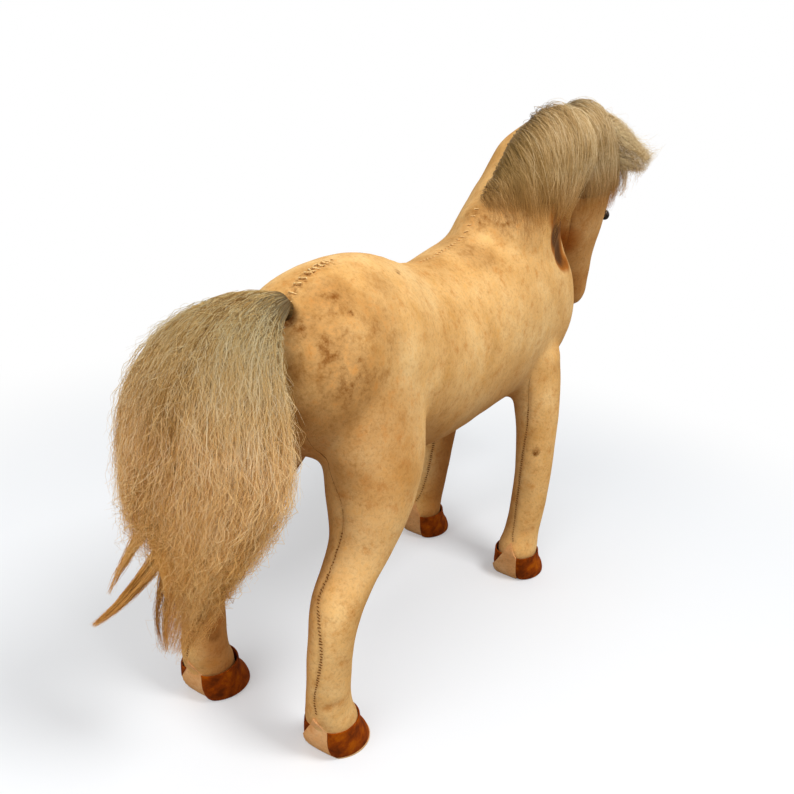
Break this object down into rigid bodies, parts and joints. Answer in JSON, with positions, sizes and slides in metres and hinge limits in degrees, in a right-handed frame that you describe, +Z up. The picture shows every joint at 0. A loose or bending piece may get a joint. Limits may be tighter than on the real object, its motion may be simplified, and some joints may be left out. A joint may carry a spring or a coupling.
{
  "type": "stuffed toy horse",
  "caption": "Standing hard-stuffed felt toy horse with velvet toe panels, a hair mane, forelock and hanging tail, and bead eyes.",
  "frame": {"origin": "middle of the bounding box's length and width, on the ground under the feet", "axes": "+Z up; the horse faces -Y with its tail towards +Y; its right side is -X and its left side +X"},
  "size_m": [0.1048, 0.4208, 0.3032],
  "materials": {
    "felt": "matt brushed wool felt, mottled with age",
    "pale_felt": "matt pale pinkish felt with raw edges",
    "velvet": "short-pile brown velvet",
    "mohair": "combed ash-blond animal hair",
    "thread": "waxed cotton thread whipped round the hair",
    "bead": "glossy black glass",
    "steel_wire": "plain drawn wire"
  },
  "bodies": {
    "root": {"fore_leg_right": "felt", "fore_leg_left": "felt", "fore_toe_right": "velvet", "fore_toe_left": "velvet", "fore_sole_right": "pale_felt", "fore_sole_left": "pale_felt", "fore_wire_right": "steel_wire", "fore_wire_left": "steel_wire", "hind_leg_right": "felt", "hind_leg_left": "felt", "hind_toe_right": "velvet", "hind_toe_left": "velvet", "hind_sole_right": "pale_felt", "hind_sole_left": "pale_felt", "hind_wire_right": "steel_wire", "hind_wire_left": "steel_wire", "torso": "felt", "neck": "felt", "head": "felt", "ear_right": "felt", "ear_left": "felt", "eye_right": "bead", "eye_left": "bead", "mane": "mohair", "forelock": "mohair", "tail_root": "thread"},
    "tail": {"tail_hair": "mohair"}
  },
  "joints": [
    {"name": "tail_lift", "type": "hinge", "parent": "root", "child": "tail", "pos_m": [0, 0.14803, 0.221], "axis": [1, 0, 0], "range_deg": [0, 55]}
  ]
}
